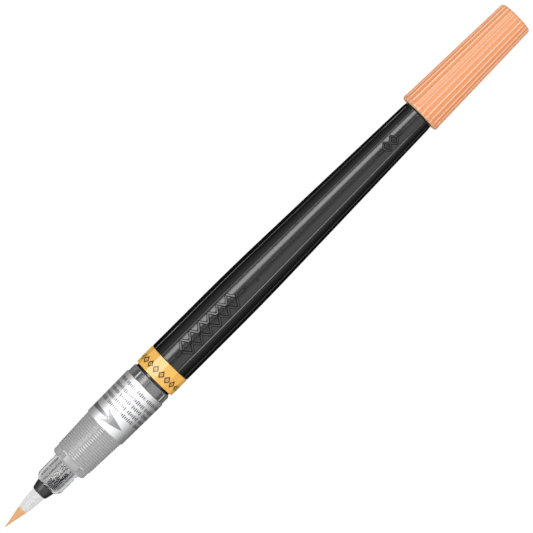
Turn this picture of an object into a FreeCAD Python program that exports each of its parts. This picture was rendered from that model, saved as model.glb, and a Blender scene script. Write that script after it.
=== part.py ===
"""Squeeze-type brush pen, lying along X with its brush tip towards -X and its tail towards +X.

Every body is drawn in pen coordinates: x runs from the tip of the tuft along the pen's axis. The placements
then put the middle of the pen over the origin and its axis at the height of its widest radius.
"""
import FreeCAD, Part
import math
import os
from types import SimpleNamespace

import Sketcher
from FreeCAD import Placement, Rotation, Vector

# Driving dimensions, in millimetres unless the note says otherwise.
DIMENSIONS = [
    # Lengths that follow one another from the tip to the tail
    ("tuft_length", 11.7, "tuft ahead of the ferrule"),
    ("ferrule_length", 2.5, "black cone ahead of the nose"),
    ("nose_length", 7.3, "nose ahead of the collar"),
    ("collar_length", 2.3, "slotted collar"),
    ("grip_length", 10.6, "ringed grip"),
    ("label_length", 13.8, "film label"),
    ("rear_length", 2.5, "bare section behind the label"),
    ("band_gap", 0.4, "gap between section and band"),
    ("band_length", 5.6, "transit band"),
    ("barrel_length", 85.5, "ribbed barrel"),
    ("cap_length", 33.8, "tail cap"),
    # Brush tuft
    ("tuft_radius", 1.82, "tuft where it leaves the ferrule"),
    ("tuft_shoulder_radius", 1.14, "tuft where its point begins"),
    ("tuft_point_length", 5.4, "pointed end of the tuft"),
    ("tuft_tip_radius", 0.08, "end of the longest filaments"),
    ("tuft_root_radius", 2.1, "fused bead behind the ferrule"),
    ("tuft_root_length", 1.1, "fused bead"),
    # Ferrule
    ("ferrule_front_radius", 2.1, "front of the cone"),
    ("ferrule_rear_radius", 2.64, "rear of the cone"),
    ("ferrule_edge_round", 0.3, "rounding of the front edge"),
    ("ferrule_stem_radius", 2.3, "stem in the nose's front wall"),
    ("tongue_clearance", 0.02, "locking tongue clear of the tuft's fused bead"),
    ("tongue_wall", 0.48, "locking tongue"),
    ("tongue_length", 5.4, "locking tongue behind the front wall"),
    ("tongue_foot_length", 2.6, "wide foot of the tongue"),
    ("tongue_start_angle", -10.0, "degrees, edge of the foot"),
    ("tongue_foot_angle", 75.0, "degrees, width of the foot"),
    ("tongue_tip_angle", 32.0, "degrees, width of the tip"),
    # Nose
    ("nose_radius", 3.78, "outside"),
    ("nose_front_radius", 2.85, "front face"),
    ("nose_chamfer_length", 1.3, "tapered front corner"),
    ("nose_wall", 0.62, "side wall"),
    ("nose_front_wall", 0.8, "front wall"),
    ("nose_seat_length", 4.5, "length pressed in the section"),
    ("nose_ring_height", 0.08, "snap ring for a cap"),
    ("nose_ring_width", 0.6, "snap ring for a cap"),
    ("nose_ring_setback", 1.6, "snap ring ahead of the collar"),
    ("web_thickness", 0.45, "long webs inside the nose"),
    ("web_height", 0.45, "long webs inside the nose"),
    ("web_first_angle", -31.5, "degrees from the top, first web and slot"),
    # Ink feed
    ("pipe_radius", 0.8, "ink pipe, outside"),
    ("pipe_bore_radius", 0.4, "ink pipe, inside"),
    ("core_plug_length", 2.5, "feed core in the nose"),
    ("core_flange_length", 1.0, "feed core behind the nose"),
    ("chamber_radius", 3.45, "feed chamber in the section"),
    ("chamber_length", 5.5, "feed chamber behind the nose"),
    ("spigot_flange_length", 1.0, "piercing spigot, flange"),
    ("spigot_radius", 1.3, "piercing spigot, post"),
    ("spigot_length", 5.0, "piercing spigot, post"),
    ("spigot_bore_radius", 0.5, "piercing spigot, bore"),
    ("spigot_point_length", 0.8, "piercing spigot, tapered end"),
    ("spigot_point_radius", 0.8, "piercing spigot, end"),
    # Grip section
    ("collar_radius", 5.05, "collar"),
    ("collar_round", 0.85, "rounding of the collar's front edge"),
    ("slot_width", 1.8, "collar slots"),
    ("collar_wall", 0.52, "collar between the nose and a slot's floor"),
    ("grip_front_radius", 5.1, "grip cone at the collar"),
    ("grip_rear_radius", 5.48, "grip cone at the label"),
    ("grip_ring_pitch", 0.635, "finger rings"),
    ("grip_ring_radius", 0.22, "round section of a finger ring"),
    ("grip_ring_sink", 0.13, "centre of that section below the cone"),
    ("label_front_radius", 5.87, "outside of the label, front"),
    ("label_rear_radius", 6.04, "outside of the label, rear"),
    ("label_thickness", 0.07, "label film"),
    ("rear_front_radius", 5.79, "section just behind the label"),
    ("rear_end_radius", 5.67, "section's rear rim"),
    # Screw joint
    ("neck_radius", 4.25, "barrel neck between the threads"),
    ("thread_height", 0.45, "height of both threads"),
    ("thread_clearance", 0.1, "radial gap between the threads"),
    ("thread_lead", 2.0, "advance in one turn, left-handed"),
    ("thread_crest", 0.4, "width of a thread at its crest"),
    ("thread_root", 0.7, "width of a thread at its root"),
    ("neck_thread_length", 8.0, "thread on the neck"),
    ("socket_thread_length", 9.0, "thread in the socket"),
    ("neck_wall", 1.05, "neck between the threads"),
    ("neck_reach", 17.4, "neck ahead of the barrel's shoulder"),
    ("neck_thread_setback", 1.0, "thread behind the neck's end"),
    ("spigot_step", 0.45, "panels down to the spigot under the band"),
    ("spigot_ring_overlap", 0.3, "spigot ahead of the band"),
    ("running_clearance", 0.04, "radial gap round the spigot and the ball"),
    ("seat_clearance", 0.08, "radial gap between spigot and socket mouth"),
    ("face_clearance", 0.03, "end gap between band and barrel"),
    # Band
    ("band_radius", 5.96, "over the ridges between its facets"),
    # Barrel
    ("barrel_radius", 5.84, "over the ribs at the shoulder"),
    ("barrel_tail_radius", 4.1, "over the ribs' line at the tail cap"),
    ("taper_start", 26.2, "straight part, measured to where the cone would begin"),
    ("taper_blend", 9.0, "half the length of the blend into the cone"),
    ("barrel_wall", 1.0, "rib to bore"),
    ("barrel_end_length", 0.6, "plain ring between ribs and cap"),
    ("rib_height", 0.09, "long ribs between the panels"),
    ("rib_width", 0.4, "long ribs between the panels"),
    ("rib_root", 0.3, "buried foot of a rib"),
    ("facet_turn", 1.5, "degrees from the top, first rib and first ridge of the band"),
    ("tail_step", 0.06, "panels down to the plain end under the tail cap"),
    ("tail_spigot_length", 19.8, "plain end under the tail cap"),
    ("tail_end_wall", 1.5, "closed end of the bottle"),
    # Neck bush and ball
    ("bush_length", 4.0, "bush in the neck"),
    ("bush_lip_setback", 0.35, "neck's outside down to the bush lip"),
    ("bush_flange_length", 0.5, "bush lip"),
    ("ball_radius", 1.5, "seal ball"),
    ("ball_depth", 2.7, "ball centre behind the neck's end"),
    # Tail cap
    ("cap_rim_radius", 5.64, "rim"),
    ("cap_end_radius", 4.7, "flat end"),
    ("cap_rim_round", 0.55, "rounding of the rim"),
    ("cap_end_round", 0.7, "rounding of the end"),
    ("cap_lip_length", 1.25, "smooth lip ahead of the ribs"),
    ("cap_groove_width", 0.8, "grooves between the ribs"),
    ("cap_groove_depth", 0.16, "grooves between the ribs"),
    ("cap_groove_turn", -2.5, "degrees from the top, first groove"),
    ("cap_end_wall", 1.2, "closed end"),
    ("cap_hollow_radius", 3.6, "hollow behind the barrel's end"),
]

FACETS = 12             # barrel panels and band facets; their ridges line up
WEBS = 5
CAP_RIBS = 24
GRIP_RINGS = 17
FULL_TURN = 360.0
CUT_OVERRUN = 1.0       # how far cutting shapes start outside what they cut
THREAD_SINK = 0.15      # how deep a thread's root is buried in its wall
THREAD_OFFSET = 2.5     # leads from the start of the socket's thread to that of the neck's


class Size:
    """A dimension, kept with the sheet formula that gives it."""

    def __init__(self, value, formula):
        self.value = value
        self.formula = formula

    def __add__(self, other):
        other = sized(other)
        return Size(self.value + other.value, f"({self.formula} + {other.formula})")

    def __sub__(self, other):
        other = sized(other)
        return Size(self.value - other.value, f"({self.formula} - {other.formula})")

    def __mul__(self, other):
        other = sized(other)
        return Size(self.value * other.value, f"({self.formula} * {other.formula})")

    def __truediv__(self, other):
        other = sized(other)
        return Size(self.value / other.value, f"({self.formula} / {other.formula})")

    def __neg__(self):
        return sized(0.0) - self


def sized(number):
    """A plain number as a Size; a Size stays as it is."""
    if isinstance(number, Size):
        return number
    return Size(float(number), f"{float(number):.9f}")


doc = FreeCAD.newDocument("brush_pen")
sheet = doc.addObject("Spreadsheet::Sheet", "dims")
for row, (name, value, note) in enumerate(DIMENSIONS, start=1):
    sheet.set(f"A{row}", name)
    sheet.set(f"B{row}", str(value))
    sheet.set(f"C{row}", note)
    sheet.setAlias(f"B{row}", name)
doc.recompute()
d = SimpleNamespace(**{name: Size(value, f"dims.{name}") for name, value, _ in DIMENSIONS})

# Stations along the pen
ferrule_front = d.tuft_length
nose_front = ferrule_front + d.ferrule_length
collar_front = nose_front + d.nose_length
grip_front = collar_front + d.collar_length
label_front = grip_front + d.grip_length
label_rear = label_front + d.label_length
section_rear = label_rear + d.rear_length
band_front = section_rear + d.band_gap
shoulder = band_front + d.band_length
cap_front = shoulder + d.barrel_length
pen_end = cap_front + d.cap_length

nose_rear = collar_front + d.nose_seat_length
chamber_rear = nose_rear + d.chamber_length
core_rear = nose_rear + d.core_flange_length
neck_end = shoulder - d.neck_reach
screw_travel = d.band_gap + d.band_length
socket_mouth = section_rear - screw_travel
socket_radius = d.neck_radius + d.thread_height + d.thread_clearance
neck_bore = d.neck_radius - d.neck_wall
barrel_panel = d.barrel_radius - d.rib_height
tail_panel = d.barrel_tail_radius - d.rib_height
spigot_ring = barrel_panel - d.spigot_step
tail_spigot = tail_panel - d.tail_step
mouth_radius = spigot_ring + d.seat_clearance
neck_thread_start = neck_end + d.neck_thread_setback
socket_thread_start = neck_thread_start - d.thread_lead * THREAD_OFFSET
ball_centre = neck_end + d.ball_depth
taper_front = shoulder + d.taper_start
taper_slope = (d.barrel_radius - d.barrel_tail_radius) / (cap_front - taper_front)


def bind(thing, prop, size):
    """Ties a property to the sheet."""
    thing.setExpression(prop, sized(size).formula)


def placed(thing, label, along=None):
    """Gives a sub-part its name and its place: along is its own origin's station on the pen."""
    thing.Label = label
    start = sized(0.0) if along is None else along
    bind(thing, "Placement.Base.x", start - pen_end / 2)
    bind(thing, "Placement.Base.z", d.label_rear_radius)
    return thing


def new_body(label):
    return placed(doc.addObject("PartDesign::Body", label), label)


def origin_feature(body, role):
    return next(f for f in body.Origin.OriginFeatures if f.Role == role)


def new_sketch(body, name, role="XZ_Plane", station=None, turn=None):
    """A sketch on an origin plane, moved along the plane's normal or turned about the sketch's own X axis."""
    sketch = body.newObject("Sketcher::SketchObject", name)
    sketch.AttachmentSupport = [(origin_feature(body, role), "")]
    sketch.MapMode = "FlatFace"
    if station is not None:
        bind(sketch, "AttachmentOffset.Base.z", station)
    if turn is not None:
        sketch.AttachmentOffset = Placement(Vector(), Rotation(Vector(1, 0, 0), turn.value))
        bind(sketch, "AttachmentOffset.Rotation.Angle", turn)
    return sketch


def hold(sketch, geometry, point, along, across):
    """Fixes a point of a sketch by its two distances from the sketch's origin."""
    for kind, size in (("DistanceX", along), ("DistanceY", across)):
        size = sized(size)
        index = sketch.addConstraint(Sketcher.Constraint(kind, -1, 1, geometry, point, size.value))
        bind(sketch, f"Constraints[{index}]", size)


def outline(sketch, corners, blend=None):
    """Closes an outline through its corners. The line after corner number blend is an arc that starts level."""
    points = [Vector(sized(along).value, sized(across).value, 0) for along, across in corners]
    last = len(points) - 1
    joints = []
    for number, point in enumerate(points):
        following = points[0 if number == last else number + 1]
        if number == blend:
            run = following.x - point.x
            drop = point.y - following.y
            radius = (run * run + drop * drop) / (2 * drop)
            centre = Vector(point.x, point.y - radius, 0)
            circle = Part.Circle(centre, Vector(0, 0, 1), radius)
            start = math.atan2(following.y - centre.y, run)
            sketch.addGeometry(Part.ArcOfCircle(circle, start, math.pi / 2), False)
            joints.append((2, 1))
        else:
            sketch.addGeometry(Part.LineSegment(point, following), False)
            joints.append((1, 2))
    for number in range(len(points)):
        after = 0 if number == last else number + 1
        ends = (number, joints[number][1], after, joints[after][0])
        sketch.addConstraint(Sketcher.Constraint("Coincident", *ends))
    for number, (along, across) in enumerate(corners):
        hold(sketch, number, joints[number][0], along, across)
    if blend is not None:
        level = Sketcher.Constraint("Vertical", blend, 3, blend, joints[blend][0])
        sketch.addConstraint(level)
    return sketch


def revolved(body, name, corners, blend=None, turn=None, angle=None):
    """A solid of revolution about the pen's axis, from corners given as station and radius."""
    sketch = outline(new_sketch(body, name + "Outline", turn=turn), corners, blend)
    feature = body.newObject("PartDesign::Revolution", name)
    feature.Profile = sketch
    feature.ReferenceAxis = (sketch, ["H_Axis"])
    feature.Angle = FULL_TURN
    if angle is not None:
        bind(feature, "Angle", angle)
    return feature


def patterned(body, name, feature, count):
    """Repeats a feature evenly round the pen's axis."""
    pattern = body.newObject("PartDesign::PolarPattern", name)
    pattern.Originals = [feature]
    pattern.Axis = (origin_feature(body, "X_Axis"), [""])
    pattern.Angle = FULL_TURN
    pattern.Occurrences = count
    body.Tip = pattern
    return pattern


def ring_edges(feature, station, radius):
    """Names of a feature's circular edges at a station, with a radius."""
    found = []
    for number, edge in enumerate(feature.Shape.Edges, start=1):
        curve = edge.Curve
        if not isinstance(curve, Part.Circle):
            continue
        if abs(curve.Center.x - station.value) < 1e-4 and abs(curve.Radius - radius.value) < 1e-4:
            found.append(f"Edge{number}")
    return found


def rounded(body, name, feature, edges, radius):
    """Rounds the circular edges given as station and radius."""
    doc.recompute()
    names = [edge for station, ring in edges for edge in ring_edges(feature, station, ring)]
    if len(names) < len(edges):
        raise ValueError(f"{name}: an edge to round was not found")
    fillet = body.newObject("PartDesign::Fillet", name)
    fillet.Base = (feature, names)
    bind(fillet, "Radius", radius)
    return fillet


def thread(body, name, start, length, root, crest):
    """A left-hand thread ridge from its root radius to its crest radius."""
    half_root = d.thread_root / 2
    half_crest = d.thread_crest / 2
    sketch = outline(new_sketch(body, name + "Outline"), [
        (start - half_root, root),
        (start + half_root, root),
        (start + half_crest, crest),
        (start - half_crest, crest),
    ])
    ridge = body.newObject("PartDesign::AdditiveHelix", name)
    ridge.Profile = sketch
    ridge.ReferenceAxis = (sketch, ["H_Axis"])
    ridge.Mode = "pitch-height-angle"
    ridge.LeftHanded = True
    bind(ridge, "Pitch", d.thread_lead)
    bind(ridge, "Height", length)
    return ridge


def make_bristle_tuft():
    body = new_body("bristle_tuft")
    root = nose_front + d.nose_front_wall
    revolved(body, "Tuft", [
        (0, 0),
        (0, d.tuft_tip_radius),
        (d.tuft_point_length, d.tuft_shoulder_radius),
        (ferrule_front, d.tuft_radius),
        (root, d.tuft_radius),
        (root, d.tuft_root_radius),
        (root + d.tuft_root_length, d.tuft_root_radius),
        (root + d.tuft_root_length, 0),
    ])


def make_ferrule():
    body = new_body("ferrule")
    wall_rear = nose_front + d.nose_front_wall
    bore = d.tuft_radius
    cone = revolved(body, "Cone", [
        (ferrule_front, bore),
        (ferrule_front, d.ferrule_front_radius),
        (nose_front, d.ferrule_rear_radius),
        (nose_front, d.ferrule_stem_radius),
        (wall_rear, d.ferrule_stem_radius),
        (wall_rear, bore),
    ])
    rounded(body, "FrontRound", cone, [(ferrule_front, d.ferrule_front_radius)], d.ferrule_edge_round)
    foot_rear = wall_rear + d.tongue_foot_length
    tongue_rear = wall_rear + d.tongue_length
    tongue_inside = d.tuft_root_radius + d.tongue_clearance
    tongue_outside = tongue_inside + d.tongue_wall
    tip_angle = d.tongue_start_angle + (d.tongue_foot_angle - d.tongue_tip_angle)
    revolved(body, "TongueFoot", [
        (wall_rear, tongue_inside),
        (foot_rear, tongue_inside),
        (foot_rear, tongue_outside),
        (wall_rear, tongue_outside),
    ], turn=d.tongue_start_angle, angle=d.tongue_foot_angle)
    revolved(body, "TongueTip", [
        (foot_rear, tongue_inside),
        (tongue_rear, tongue_inside),
        (tongue_rear, tongue_outside),
        (foot_rear, tongue_outside),
    ], turn=tip_angle, angle=d.tongue_tip_angle)


def make_nose_piece():
    body = new_body("nose_piece")
    inside = d.nose_radius - d.nose_wall
    wall_rear = nose_front + d.nose_front_wall
    ring_rear = collar_front - d.nose_ring_setback
    ring_front = ring_rear - d.nose_ring_width
    ring_top = d.nose_radius + d.nose_ring_height
    revolved(body, "Shell", [
        (nose_front, d.ferrule_stem_radius),
        (nose_front, d.nose_front_radius),
        (nose_front + d.nose_chamfer_length, d.nose_radius),
        (ring_front, d.nose_radius),
        (ring_front + d.nose_ring_width / 2, ring_top),
        (ring_rear, d.nose_radius),
        (nose_rear, d.nose_radius),
        (nose_rear, inside),
        (wall_rear, inside),
        (wall_rear, d.ferrule_stem_radius),
    ])
    web_rear = nose_rear - d.core_plug_length
    web = body.newObject("PartDesign::Pad", "Web")
    web.Profile = outline(new_sketch(body, "WebOutline", turn=d.web_first_angle), [
        (wall_rear, inside - d.web_height),
        (web_rear, inside - d.web_height),
        (web_rear, inside + d.nose_wall / 2),
        (wall_rear, inside + d.nose_wall / 2),
    ])
    web.SideType = "Symmetric"
    bind(web, "Length", d.web_thickness)
    patterned(body, "Webs", web, WEBS)


def make_ink_pipe():
    body = new_body("ink_pipe")
    front = nose_front + d.nose_front_wall + d.tuft_root_length
    revolved(body, "Pipe", [
        (front, d.pipe_bore_radius),
        (front, d.pipe_radius),
        (core_rear, d.pipe_radius),
        (core_rear, d.pipe_bore_radius),
    ])


def make_feed_core():
    body = new_body("feed_core")
    plug_front = nose_rear - d.core_plug_length
    revolved(body, "Core", [
        (plug_front, d.pipe_radius),
        (plug_front, d.nose_radius - d.nose_wall),
        (nose_rear, d.nose_radius - d.nose_wall),
        (nose_rear, d.chamber_radius),
        (core_rear, d.chamber_radius),
        (core_rear, d.pipe_radius),
    ])


def make_relay_felt():
    body = new_body("relay_felt")
    revolved(body, "Felt", [
        (core_rear, 0),
        (core_rear, d.chamber_radius),
        (chamber_rear, d.chamber_radius),
        (chamber_rear, 0),
    ])


def make_piercing_spigot():
    body = new_body("piercing_spigot")
    flange_rear = chamber_rear + d.spigot_flange_length
    post_rear = flange_rear + d.spigot_length
    revolved(body, "Spigot", [
        (chamber_rear, d.spigot_bore_radius),
        (chamber_rear, socket_radius),
        (flange_rear, socket_radius),
        (flange_rear, d.spigot_radius),
        (post_rear - d.spigot_point_length, d.spigot_radius),
        (post_rear, d.spigot_point_radius),
        (post_rear, d.spigot_bore_radius),
    ])


def make_grip_section():
    body = new_body("grip_section")
    seat_front = d.label_front_radius - d.label_thickness
    seat_rear = d.label_rear_radius - d.label_thickness
    shell = revolved(body, "Shell", [
        (collar_front, d.nose_radius),
        (collar_front, d.collar_radius),
        (grip_front, d.collar_radius),
        (grip_front, d.grip_front_radius),
        (label_front, d.grip_rear_radius),
        (label_front, seat_front),
        (label_rear, seat_rear),
        (label_rear, d.rear_front_radius),
        (section_rear, d.rear_end_radius),
        (section_rear, mouth_radius),
        (socket_mouth, mouth_radius),
        (socket_mouth, socket_radius),
        (chamber_rear, socket_radius),
        (chamber_rear, d.chamber_radius),
        (nose_rear, d.chamber_radius),
        (nose_rear, d.nose_radius),
    ])
    rounded(body, "CollarRound", shell, [(collar_front, d.collar_radius)], d.collar_round)
    slot_floor = d.nose_radius + d.collar_wall
    slot = body.newObject("PartDesign::Pocket", "Slot")
    slot.Profile = outline(new_sketch(body, "SlotOutline", turn=d.web_first_angle), [
        (collar_front - CUT_OVERRUN, slot_floor),
        (grip_front, slot_floor),
        (grip_front, d.collar_radius + CUT_OVERRUN),
        (collar_front - CUT_OVERRUN, d.collar_radius + CUT_OVERRUN),
    ])
    slot.SideType = "Symmetric"
    bind(slot, "Length", d.slot_width)
    patterned(body, "Slots", slot, WEBS)
    cone_slope = (d.grip_rear_radius - d.grip_front_radius) / d.grip_length
    first_ring = (d.grip_length - d.grip_ring_pitch * (GRIP_RINGS - 1)) / 2
    for number in range(GRIP_RINGS):
        setback = first_ring + d.grip_ring_pitch * number
        ring = body.newObject("PartDesign::AdditiveTorus", f"GripRing{number + 1}")
        ring.AttachmentSupport = [(origin_feature(body, "YZ_Plane"), "")]
        ring.MapMode = "FlatFace"
        bind(ring, "AttachmentOffset.Base.z", grip_front + setback)
        bind(ring, "Radius1", d.grip_front_radius + cone_slope * setback - d.grip_ring_sink)
        bind(ring, "Radius2", d.grip_ring_radius)
    thread(body, "SocketThread", socket_thread_start, d.socket_thread_length,
           socket_radius + THREAD_SINK, d.neck_radius + d.thread_clearance)


def make_section_label():
    body = new_body("section_label")
    revolved(body, "Film", [
        (label_front, d.label_front_radius - d.label_thickness),
        (label_front, d.label_front_radius),
        (label_rear, d.label_rear_radius),
        (label_rear, d.label_rear_radius - d.label_thickness),
    ])


def make_transit_band():
    body = new_body("transit_band")
    rear = shoulder - d.face_clearance
    bore = spigot_ring + d.running_clearance
    revolved(body, "Ring", [
        (band_front, bore),
        (band_front, d.band_radius),
        (rear, d.band_radius),
        (rear, bore),
    ])
    half_facet = sized(FULL_TURN / FACETS / 2)
    facet_radius = d.band_radius * math.cos(math.radians(half_facet.value))
    facet = body.newObject("PartDesign::Pocket", "Facet")
    facet.Profile = outline(new_sketch(body, "FacetOutline", turn=half_facet + d.facet_turn), [
        (band_front - CUT_OVERRUN, facet_radius),
        (rear + CUT_OVERRUN, facet_radius),
        (rear + CUT_OVERRUN, d.band_radius + CUT_OVERRUN),
        (band_front - CUT_OVERRUN, d.band_radius + CUT_OVERRUN),
    ])
    facet.SideType = "Symmetric"
    bind(facet, "Length", d.band_radius)
    patterned(body, "Facets", facet, FACETS)


def make_barrel():
    body = new_body("barrel")
    tail_end = cap_front + d.tail_spigot_length
    bore = d.barrel_radius - d.barrel_wall
    tail_bore = d.barrel_tail_radius - d.barrel_wall
    blend_front = taper_front - d.taper_blend
    blend_rear = taper_front + d.taper_blend
    blend_drop = taper_slope * d.taper_blend
    ring_front = band_front - d.spigot_ring_overlap
    revolved(body, "Bottle", [
        (neck_end, neck_bore),
        (neck_end, d.neck_radius),
        (ring_front, d.neck_radius),
        (ring_front, spigot_ring),
        (shoulder, spigot_ring),
        (shoulder, barrel_panel),
        (blend_front, barrel_panel),
        (blend_rear, barrel_panel - blend_drop),
        (cap_front, tail_panel),
        (cap_front, tail_spigot),
        (tail_end, tail_spigot),
        (tail_end, 0),
        (tail_end - d.tail_end_wall, 0),
        (tail_end - d.tail_end_wall, tail_bore),
        (cap_front, tail_bore),
        (taper_front, bore),
        (shoulder, bore),
        (ring_front, neck_bore),
    ], blend=6)
    rib_rear = cap_front - d.barrel_end_length
    rear_drop = taper_slope * (rib_rear - taper_front)
    rib = body.newObject("PartDesign::Pad", "Rib")
    rib.Profile = outline(new_sketch(body, "RibOutline", turn=d.facet_turn), [
        (shoulder, d.barrel_radius),
        (blend_front, d.barrel_radius),
        (blend_rear, d.barrel_radius - blend_drop),
        (rib_rear, d.barrel_radius - rear_drop),
        (rib_rear, barrel_panel - rear_drop - d.rib_root),
        (taper_front, barrel_panel - d.rib_root),
        (shoulder, barrel_panel - d.rib_root),
    ], blend=1)
    rib.SideType = "Symmetric"
    bind(rib, "Length", d.rib_width)
    patterned(body, "Ribs", rib, FACETS)
    thread(body, "NeckThread", neck_thread_start, d.neck_thread_length,
           d.neck_radius - THREAD_SINK, d.neck_radius + d.thread_height)


def make_neck_bush():
    body = new_body("neck_bush")
    front = neck_end - d.bush_flange_length
    bore = d.ball_radius + d.running_clearance
    lip = d.neck_radius - d.bush_lip_setback
    revolved(body, "Bush", [
        (front, bore),
        (front, lip),
        (neck_end, lip),
        (neck_end, neck_bore),
        (neck_end + d.bush_length, neck_bore),
        (neck_end + d.bush_length, bore),
    ])


def make_seal_ball():
    ball = doc.addObject("Part::Sphere", "seal_ball")
    bind(ball, "Radius", d.ball_radius)
    placed(ball, "seal_ball", ball_centre)


def make_tail_cap():
    body = new_body("tail_cap")
    seat_rear = cap_front + d.tail_spigot_length
    hollow_rear = pen_end - d.cap_end_wall
    shell = revolved(body, "Shell", [
        (cap_front, tail_spigot),
        (cap_front, d.cap_rim_radius),
        (pen_end, d.cap_end_radius),
        (pen_end, 0),
        (hollow_rear, 0),
        (hollow_rear, d.cap_hollow_radius),
        (seat_rear, d.cap_hollow_radius),
        (seat_rear, tail_spigot),
    ])
    rim = rounded(body, "RimRound", shell, [(cap_front, d.cap_rim_radius)], d.cap_rim_round)
    end = rounded(body, "EndRound", rim, [(pen_end, d.cap_end_radius)], d.cap_end_round)
    doc.recompute()
    plain_volume = end.Shape.Volume
    cone_slope = (d.cap_rim_radius - d.cap_end_radius) / d.cap_length
    groove_front = cap_front + d.cap_lip_length
    front_floor = d.cap_rim_radius - cone_slope * d.cap_lip_length - d.cap_groove_depth
    rear_floor = d.cap_end_radius - cone_slope * CUT_OVERRUN - d.cap_groove_depth
    groove = body.newObject("PartDesign::Pocket", "RibGroove")
    groove.Profile = outline(new_sketch(body, "RibGrooveOutline", turn=d.cap_groove_turn), [
        (groove_front, front_floor),
        (pen_end + CUT_OVERRUN, rear_floor),
        (pen_end + CUT_OVERRUN, d.cap_rim_radius + CUT_OVERRUN),
        (groove_front, d.cap_rim_radius + CUT_OVERRUN),
    ])
    groove.SideType = "Symmetric"
    bind(groove, "Length", d.cap_groove_width)
    pattern = patterned(body, "Ribs", groove, CAP_RIBS)
    doc.recompute()
    if pattern.Shape.Volume > plain_volume - 1.0:
        raise ValueError("the grooves did not cut the tail cap")


def check_and_export():
    """Stops on a failed object or a bad solid, then writes one STEP file for each sub-part."""
    doc.recompute()
    for thing in doc.Objects:
        if "Invalid" in thing.State or "Error" in thing.State:
            raise ValueError(f"{thing.Name} failed: {thing.State}")
    subparts = [o for o in doc.Objects if o.TypeId in ("PartDesign::Body", "Part::Sphere")]
    for part in subparts:
        if part.Shape.isNull() or not part.Shape.isValid() or len(part.Shape.Solids) != 1:
            raise ValueError(f"{part.Label} is not one valid solid")
    os.makedirs("parts", exist_ok=True)
    for part in subparts:
        part.Shape.exportStep(f"parts/{part.Label}.step")
        box = part.Shape.BoundBox
        print(f"{part.Label}: {part.Shape.Volume:.2f} mm3, x {box.XMin:.2f} to {box.XMax:.2f}, z to {box.ZMax:.2f}")


make_bristle_tuft()
make_ferrule()
make_nose_piece()
make_ink_pipe()
make_feed_core()
make_relay_felt()
make_piercing_spigot()
make_grip_section()
make_section_label()
make_transit_band()
make_barrel()
make_neck_bush()
make_seal_ball()
make_tail_cap()
check_and_export()
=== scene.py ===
"""Brush pen: the visible pieces and finishes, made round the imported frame."""
import math
import random

import bmesh
import bpy
from mathutils import Matrix, Vector


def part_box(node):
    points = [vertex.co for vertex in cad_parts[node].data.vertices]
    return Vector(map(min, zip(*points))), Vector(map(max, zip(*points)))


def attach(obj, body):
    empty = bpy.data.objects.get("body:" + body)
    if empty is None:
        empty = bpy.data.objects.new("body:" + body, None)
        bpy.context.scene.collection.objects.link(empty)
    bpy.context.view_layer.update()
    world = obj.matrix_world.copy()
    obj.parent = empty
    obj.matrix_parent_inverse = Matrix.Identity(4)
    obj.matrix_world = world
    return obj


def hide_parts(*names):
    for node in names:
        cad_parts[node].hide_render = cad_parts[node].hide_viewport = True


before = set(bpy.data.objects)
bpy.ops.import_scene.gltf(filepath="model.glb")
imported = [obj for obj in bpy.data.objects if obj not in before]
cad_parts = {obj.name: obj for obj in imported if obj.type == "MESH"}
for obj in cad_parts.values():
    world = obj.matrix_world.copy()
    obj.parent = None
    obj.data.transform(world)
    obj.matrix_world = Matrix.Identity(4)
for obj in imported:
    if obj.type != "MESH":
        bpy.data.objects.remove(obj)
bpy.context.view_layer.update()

MM = 0.001
QUARTER = math.pi / 2

# The pen's axis lies along X, at this height over the floor
label_low, label_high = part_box("section_label")
AXIS = (label_low.z + label_high.z) / 2


def front(node):
    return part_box(node)[0].x


def rear(node):
    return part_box(node)[1].x


TIP = front("bristle_tuft")
FERRULE = front("ferrule")
NOSE = front("nose_piece")
NOSE_REAR = rear("nose_piece")
COLLAR = front("grip_section")
LABEL = front("section_label")
LABEL_REAR = rear("section_label")
SECTION_REAR = rear("grip_section")
BAND = front("transit_band")
SHOULDER = rear("transit_band")
NECK = front("barrel")
CAP = front("tail_cap")
END = rear("tail_cap")
GRIP = COLLAR + 2.3 * MM
TAIL_PLUG = rear("barrel")

rng = random.Random(7)


# ---------------------------------------------------------------- modelling helpers

def deselect():
    bpy.ops.object.select_all(action="DESELECT")


def along_x(turn=0.0):
    """Turns a primitive's own Z axis along the pen, after a turn in degrees about the pen."""
    return (Matrix.Rotation(math.radians(turn), 4, "X") @ Matrix.Rotation(QUARTER, 4, "Y")).to_euler()


def start_edit():
    """Puts the active piece in edit mode, ready to choose vertices."""
    bpy.ops.object.mode_set(mode="EDIT")
    bpy.context.tool_settings.mesh_select_mode = (True, False, False)


def choose(piece, wanted):
    """Selects the vertices of the mesh in edit mode that pass the test."""
    bpy.ops.mesh.select_all(action="DESELECT")
    mesh = bmesh.from_edit_mesh(piece.data)
    for vertex in mesh.verts:
        if wanted(vertex):
            vertex.select = True
    mesh.select_flush_mode()
    bmesh.update_edit_mesh(piece.data)


def settle(piece, angle=40.0):
    """Leaves edit mode, puts the place in the mesh and smooths what is not a sharp edge."""
    if bpy.context.mode != "OBJECT":
        bpy.ops.object.mode_set(mode="OBJECT")
    deselect()
    piece.select_set(True)
    bpy.context.view_layer.objects.active = piece
    bpy.ops.object.transform_apply(location=True, rotation=True, scale=True)
    bpy.ops.object.shade_smooth_by_angle(angle=math.radians(angle))
    return piece


def applied(piece, kind, **settings):
    """Adds a modifier and applies it."""
    deselect()
    piece.select_set(True)
    bpy.context.view_layer.objects.active = piece
    modifier = piece.modifiers.new(kind.title(), kind)
    for name, value in settings.items():
        setattr(modifier, name, value)
    bpy.ops.object.modifier_apply(modifier=modifier.name)
    return piece


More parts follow.
